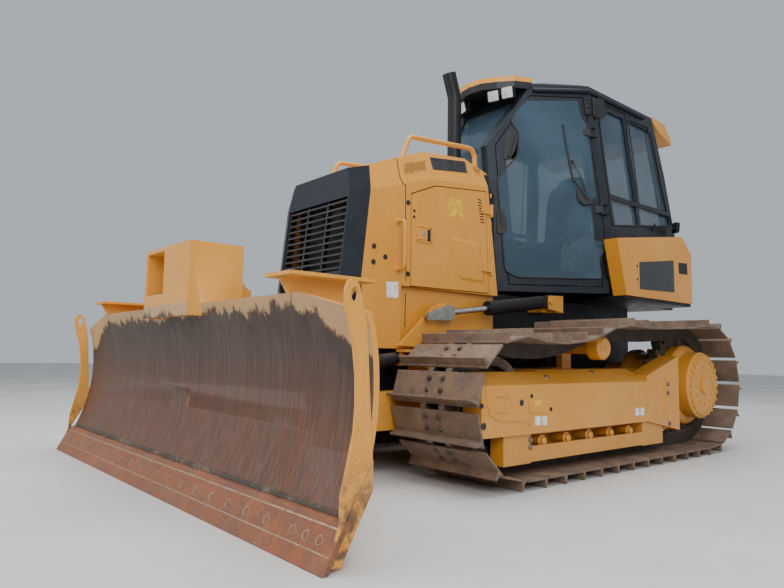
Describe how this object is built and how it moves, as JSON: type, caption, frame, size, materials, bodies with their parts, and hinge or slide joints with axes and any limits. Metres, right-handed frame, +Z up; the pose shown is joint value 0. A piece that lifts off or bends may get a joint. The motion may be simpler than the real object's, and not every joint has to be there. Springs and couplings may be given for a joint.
{
  "type": "crawler dozer",
  "caption": "Small crawler dozer with an enclosed cab, wide track shoes and a blade on a push frame that lifts, angles and tilts by hydraulic cylinders.",
  "frame": {"origin": "on the ground, in the middle between the cutting edge and the end of the drawbar", "axes": "+X to the machine's left, -Y to its front, +Z up"},
  "size_m": [3.15, 4.27, 2.76],
  "materials": {
    "machine_yellow": "semi-gloss",
    "frame_black": "satin",
    "grille_black": "matt",
    "engine_grey": "matt",
    "worn_steel": "worn",
    "zinc_plate": "zinc plated",
    "chrome_rod": "polished",
    "tinted_glass": "clear, lightly tinted",
    "seat_cloth": "woven",
    "cabin_plastic": "grained"
  },
  "bodies": {
    "chassis": {"main_frame": "frame_black", "engine_block": "engine_grey", "hood_shell": "machine_yellow", "front_cap": "frame_black", "grille": "grille_black", "radiator": "grille_black", "hood_cowl": "frame_black", "hood_handrails": "machine_yellow", "exhaust_stack": "frame_black", "cab_frame": "frame_black", "cab_windows": "tinted_glass", "cab_roof": "machine_yellow", "roof_brow": "machine_yellow", "roof_rear_cap": "machine_yellow", "roof_lamps": "frame_black", "operator_seat": "seat_cloth", "control_consoles": "cabin_plastic", "rear_box_left": "machine_yellow", "rear_box_right": "machine_yellow", "fuel_tank": "machine_yellow", "drawbar": "frame_black", "lift_brackets": "machine_yellow", "track_left": "worn_steel", "track_right": "worn_steel", "idler_left": "worn_steel", "idler_right": "worn_steel", "track_rollers_left": "machine_yellow", "track_rollers_right": "machine_yellow", "carrier_roller_left": "machine_yellow", "carrier_roller_right": "machine_yellow", "track_frame_left": "machine_yellow", "track_frame_right": "machine_yellow", "final_drive_left": "machine_yellow", "final_drive_right": "machine_yellow", "sprocket_left": "worn_steel", "sprocket_right": "worn_steel"},
    "push_frame": {"c_frame": "machine_yellow", "lift_flags": "zinc_plate"},
    "swivel": {"swivel_head": "machine_yellow"},
    "blade": {"blade": "machine_yellow", "cutting_edge": "worn_steel"},
    "tilt_barrel": {"tilt_barrel": "frame_black"},
    "tilt_rod": {"tilt_rod": "chrome_rod"},
    "lift_barrel_left": {"lift_barrel_left": "frame_black"},
    "lift_rod_left": {"lift_rod_left": "chrome_rod"},
    "angle_ball_left": {"angle_ball_left": "machine_yellow"},
    "angle_barrel_left": {"angle_barrel_left": "frame_black"},
    "angle_rod_left": {"angle_rod_left": "chrome_rod"},
    "engine_door_left": {"engine_door_left": "machine_yellow"},
    "cab_door_left": {"cab_door_left": "frame_black", "cab_door_glass_left": "tinted_glass"},
    "lift_barrel_right": {"lift_barrel_right": "frame_black"},
    "lift_rod_right": {"lift_rod_right": "chrome_rod"},
    "angle_ball_right": {"angle_ball_right": "machine_yellow"},
    "angle_barrel_right": {"angle_barrel_right": "frame_black"},
    "angle_rod_right": {"angle_rod_right": "chrome_rod"},
    "engine_door_right": {"engine_door_right": "machine_yellow"},
    "cab_door_right": {"cab_door_right": "frame_black", "cab_door_glass_right": "tinted_glass"}
  },
  "joints": [
    {"name": "blade_lift", "type": "hinge", "parent": "chassis", "child": "push_frame", "pos_m": [0, 0.515, 0.42], "axis": [-1, 0, 0], "range_deg": [-12.7, 15.9]},
    {"name": "blade_angle", "type": "hinge", "parent": "push_frame", "child": "swivel", "pos_m": [0, -1.685, 0.4], "axis": [0, 0, 1], "range_deg": [-25, 25]},
    {"name": "blade_tilt", "type": "hinge", "parent": "swivel", "child": "blade", "pos_m": [0, -1.75, 0.4], "axis": [0, -1, 0], "range_deg": [-12.8, 12.8]},
    {"name": "lift_barrel_left_swing", "type": "hinge", "parent": "chassis", "child": "lift_barrel_left", "pos_m": [0.498, 0.475, 1.06], "axis": [-1, 0, 0], "range_deg": [-14, 17]},
    {"name": "lift_rod_left_slide", "type": "slide", "parent": "lift_barrel_left", "child": "lift_rod_left", "axis": [0, -0.9912, -0.1325], "range_m": [-0.19, 0.15]},
    {"name": "angle_ball_left_turn", "type": "hinge", "parent": "push_frame", "child": "angle_ball_left", "pos_m": [0.4775, -0.85, 0.655], "axis": [0, 0, 1], "range_deg": [-4, 4]},
    {"name": "angle_barrel_left_tip", "type": "hinge", "parent": "angle_ball_left", "child": "angle_barrel_left", "pos_m": [0.4775, -0.85, 0.655], "axis": [-0.9912, -0.1326, 0], "range_deg": [-8.3, 8.3]},
    {"name": "angle_rod_left_slide", "type": "slide", "parent": "angle_barrel_left", "child": "angle_rod_left", "axis": [0.1321, -0.987, -0.0917], "range_m": [-0.26, 0.26]},
    {"name": "lift_barrel_right_swing", "type": "hinge", "parent": "chassis", "child": "lift_barrel_right", "pos_m": [-0.498, 0.475, 1.06], "axis": [-1, 0, 0], "range_deg": [-14, 17]},
    {"name": "lift_rod_right_slide", "type": "slide", "parent": "lift_barrel_right", "child": "lift_rod_right", "axis": [0, -0.9912, -0.1325], "range_m": [-0.19, 0.15]},
    {"name": "angle_ball_right_turn", "type": "hinge", "parent": "push_frame", "child": "angle_ball_right", "pos_m": [-0.4775, -0.85, 0.655], "axis": [0, 0, 1], "range_deg": [-4, 4]},
    {"name": "angle_barrel_right_tip", "type": "hinge", "parent": "angle_ball_right", "child": "angle_barrel_right", "pos_m": [-0.4775, -0.85, 0.655], "axis": [-0.9912, 0.1326, 0], "range_deg": [-8.3, 8.3]},
    {"name": "angle_rod_right_slide", "type": "slide", "parent": "angle_barrel_right", "child": "angle_rod_right", "axis": [-0.1321, -0.987, -0.0917], "range_m": [-0.26, 0.26]},
    {"name": "tilt_barrel_swing", "type": "hinge", "parent": "swivel", "child": "tilt_barrel", "pos_m": [-0.06, -1.728, 0.88], "axis": [0, -1, 0], "range_deg": [-11.2, 11.2]},
    {"name": "tilt_rod_slide", "type": "slide", "parent": "tilt_barrel", "child": "tilt_rod", "axis": [0.9948, 0, -0.102], "range_m": [-0.108, 0.108]},
    {"name": "cab_door_left_swing", "type": "hinge", "parent": "chassis", "child": "cab_door_left", "pos_m": [0.73439, 0.81291, 1.74], "axis": [0.1369, 0.0293, -0.9902], "range_deg": [-65, 0]},
    {"name": "engine_door_left_swing", "type": "hinge", "parent": "chassis", "child": "engine_door_left", "pos_m": [0.455, -0.066, 1.41], "axis": [0, 0, -1], "range_deg": [-100, 0]},
    {"name": "cab_door_right_swing", "type": "hinge", "parent": "chassis", "child": "cab_door_right", "pos_m": [-0.73439, 0.81291, 1.74], "axis": [0.1369, -0.0293, 0.9902], "range_deg": [-65, 0]},
    {"name": "engine_door_right_swing", "type": "hinge", "parent": "chassis", "child": "engine_door_right", "pos_m": [-0.455, -0.066, 1.41], "axis": [0, 0, 1], "range_deg": [-100, 0]}
  ],
  "couplings": [
    {"joint": "lift_barrel_left_swing", "follows": "blade_lift", "ratio": 0.97},
    {"joint": "lift_rod_left_slide", "follows": "blade_lift", "m_per_rad": -0.6396},
    {"joint": "angle_ball_left_turn", "follows": "blade_angle", "ratio": 0.14},
    {"joint": "angle_barrel_left_tip", "follows": "blade_tilt", "ratio": 0.63},
    {"joint": "angle_rod_left_slide", "follows": "blade_angle", "m_per_rad": -0.575},
    {"joint": "lift_barrel_right_swing", "follows": "blade_lift", "ratio": 0.97},
    {"joint": "lift_rod_right_slide", "follows": "blade_lift", "m_per_rad": -0.6396},
    {"joint": "angle_ball_right_turn", "follows": "blade_angle", "ratio": 0.14},
    {"joint": "angle_barrel_right_tip", "follows": "blade_tilt", "ratio": -0.63},
    {"joint": "angle_rod_right_slide", "follows": "blade_angle", "m_per_rad": 0.575},
    {"joint": "tilt_barrel_swing", "follows": "blade_tilt", "ratio": 0.862},
    {"joint": "tilt_rod_slide", "follows": "blade_tilt", "m_per_rad": -0.471}
  ]
}
